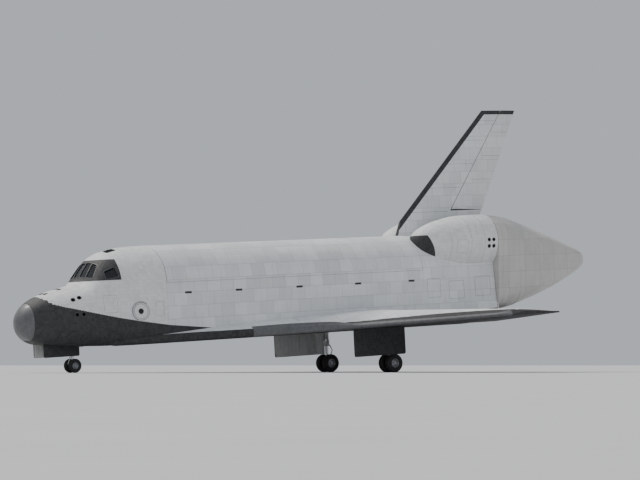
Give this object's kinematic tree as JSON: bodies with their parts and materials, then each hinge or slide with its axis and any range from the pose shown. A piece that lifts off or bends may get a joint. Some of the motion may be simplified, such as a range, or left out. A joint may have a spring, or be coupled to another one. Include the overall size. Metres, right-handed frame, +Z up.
{
  "type": "space shuttle orbiter with ferry tail cone, 1:2 scale model",
  "caption": "Winged space shuttle orbiter with a ferry tail cone, parked on its landing gear, at half size, with opening cargo bay doors and moving control surfaces.",
  "frame": {"origin": "on the ground under the middle of the bounding box, between the two sides", "axes": "+X aft, +Y to starboard, +Z up; the vehicle stands nose down by 3.5 degrees on its gear"},
  "size_m": [21.013, 11.8872, 8.5887],
  "materials": {
    "body_tile": "matte",
    "black_tile": "matte",
    "carbon": "satin",
    "fairing_shell": "satin",
    "bay_liner": "matte",
    "window_glass": "gloss",
    "cabin_panel": "matte",
    "seat_fabric": "matte",
    "gear_paint": "satin",
    "gear_steel": "satin",
    "engine_metal": "satin",
    "tyre": "matte"
  },
  "bodies": {
    "airframe": {"nose_cap": "carbon", "forward_fuselage": "body_tile", "forward_rcs_module": "body_tile", "windshield_panes": "window_glass", "overhead_panes": "window_glass", "cabin_aft_bulkhead": "bay_liner", "aft_panes": "window_glass", "flight_deck_floor": "cabin_panel", "instrument_console": "cabin_panel", "commander_seat": "seat_fabric", "pilot_seat": "seat_fabric", "mid_fuselage": "body_tile", "aft_fuselage": "body_tile", "attach_fitting_forward": "gear_steel", "attach_fitting_aft_left": "gear_steel", "attach_fitting_aft_right": "gear_steel", "engine_pod_left": "body_tile", "engine_pod_right": "body_tile", "main_engine_block": "engine_metal", "tail_cone": "fairing_shell", "wing_left": "body_tile", "wing_right": "body_tile", "leading_edge_left": "carbon", "leading_edge_right": "carbon", "vertical_fin": "body_tile", "nose_gear_leg": "gear_paint", "nose_gear_door_left": "black_tile", "nose_gear_door_right": "black_tile", "main_gear_leg_left": "gear_paint", "main_gear_leg_right": "gear_paint", "main_gear_door_left": "black_tile", "main_gear_door_right": "black_tile"},
    "hatch": {"side_hatch": "body_tile"},
    "bay_door_left": {"payload_bay_door_left": "body_tile"},
    "bay_door_right": {"payload_bay_door_right": "body_tile"},
    "umbilical_cover_left": {"umbilical_door_left": "black_tile"},
    "umbilical_cover_right": {"umbilical_door_right": "black_tile"},
    "elevon_in_left": {"elevon_inboard_left": "body_tile"},
    "elevon_in_right": {"elevon_inboard_right": "body_tile"},
    "elevon_out_left": {"elevon_outboard_left": "body_tile"},
    "elevon_out_right": {"elevon_outboard_right": "body_tile"},
    "flap": {"body_flap": "black_tile"},
    "rudder_core": {"rudder_spine": "body_tile"},
    "brake_panel_left": {"rudder_panel_left": "body_tile"},
    "brake_panel_right": {"rudder_panel_right": "body_tile"},
    "nose_steering": {"nose_gear_piston": "gear_paint"},
    "nose_wheels": {"nose_wheel_hubs": "gear_steel", "nose_tyre_left": "tyre", "nose_tyre_right": "tyre"},
    "main_wheels_left": {"main_wheel_hubs_left": "gear_steel", "main_tyre_inner_left": "tyre", "main_tyre_outer_left": "tyre"},
    "main_wheels_right": {"main_wheel_hubs_right": "gear_steel", "main_tyre_inner_right": "tyre", "main_tyre_outer_right": "tyre"}
  },
  "joints": [
    {"name": "nose_steer", "type": "hinge", "parent": "airframe", "child": "nose_steering", "pos_m": [-8.66786, 0, 0.5316], "axis": [-0.061, 0, 0.9981], "range_deg": [-10, 10]},
    {"name": "nose_wheel_spin", "type": "hinge", "parent": "nose_steering", "child": "nose_wheels", "pos_m": [-8.64777, 0, 0.2032], "axis": [0, 1, 0], "continuous": true},
    {"name": "main_wheel_spin_left", "type": "hinge", "parent": "airframe", "child": "main_wheels_left", "pos_m": [1.45002, -1.7272, 0.28255], "axis": [0, 1, 0], "continuous": true},
    {"name": "main_wheel_spin_right", "type": "hinge", "parent": "airframe", "child": "main_wheels_right", "pos_m": [1.45002, 1.7272, 0.28255], "axis": [0, 1, 0], "continuous": true},
    {"name": "side_hatch_swing", "type": "hinge", "parent": "airframe", "child": "hatch", "pos_m": [-7.07429, -1.29032, 1.52101], "axis": [0.9981, 0, 0.061], "range_deg": [0, 90]},
    {"name": "bay_door_swing_left", "type": "hinge", "parent": "airframe", "child": "bay_door_left", "pos_m": [-1.64933, -1.34112, 2.90125], "axis": [0.9981, 0, 0.061], "range_deg": [0, 175.5]},
    {"name": "bay_door_swing_right", "type": "hinge", "parent": "airframe", "child": "bay_door_right", "pos_m": [-1.64933, 1.34112, 2.90125], "axis": [-0.9981, 0, -0.061], "range_deg": [0, 175.5]},
    {"name": "umbilical_door_swing_left", "type": "hinge", "parent": "airframe", "child": "umbilical_cover_left", "pos_m": [3.47787, -0.64135, 1.4526], "axis": [0.9981, 0, 0.061], "range_deg": [0, 180]},
    {"name": "umbilical_door_swing_right", "type": "hinge", "parent": "airframe", "child": "umbilical_cover_right", "pos_m": [3.47787, 0.64135, 1.4526], "axis": [-0.9981, 0, -0.061], "range_deg": [0, 180]},
    {"name": "elevon_inboard_tilt_left", "type": "hinge", "parent": "airframe", "child": "elevon_in_left", "pos_m": [4.10004, -2.63842, 1.68184], "axis": [0.0026, 0.9991, -0.0418], "range_deg": [-40, 25]},
    {"name": "elevon_inboard_tilt_right", "type": "hinge", "parent": "airframe", "child": "elevon_in_right", "pos_m": [4.10004, 2.63842, 1.68184], "axis": [-0.0026, 0.9991, 0.0418], "range_deg": [-40, 25]},
    {"name": "elevon_outboard_tilt_left", "type": "hinge", "parent": "airframe", "child": "elevon_out_left", "pos_m": [4.09445, -4.66915, 1.77307], "axis": [0.0029, 0.9989, -0.0475], "range_deg": [-40, 25]},
    {"name": "elevon_outboard_tilt_right", "type": "hinge", "parent": "airframe", "child": "elevon_out_right", "pos_m": [4.09445, 4.66915, 1.77307], "axis": [-0.0029, 0.9989, 0.0475], "range_deg": [-40, 25]},
    {"name": "body_flap_tilt", "type": "hinge", "parent": "airframe", "child": "flap", "pos_m": [5.93928, 0, 1.77492], "axis": [0, 1, 0], "range_deg": [-11.7, 22.55]},
    {"name": "rudder_turn", "type": "hinge", "parent": "airframe", "child": "rudder_core", "pos_m": [6.13896, 0, 6.88935], "axis": [0.5202, 0, 0.854], "range_deg": [-27.1, 27.1]},
    {"name": "speed_brake_left", "type": "hinge", "parent": "rudder_core", "child": "brake_panel_left", "pos_m": [6.13896, 0, 6.88935], "axis": [-0.5202, 0, -0.854], "range_deg": [0, 49.3]},
    {"name": "speed_brake_right", "type": "hinge", "parent": "rudder_core", "child": "brake_panel_right", "pos_m": [6.13896, 0, 6.88935], "axis": [0.5202, 0, 0.854], "range_deg": [0, 49.3]}
  ],
  "couplings": [
    {"joint": "speed_brake_right", "follows": "speed_brake_left", "ratio": 1}
  ]
}
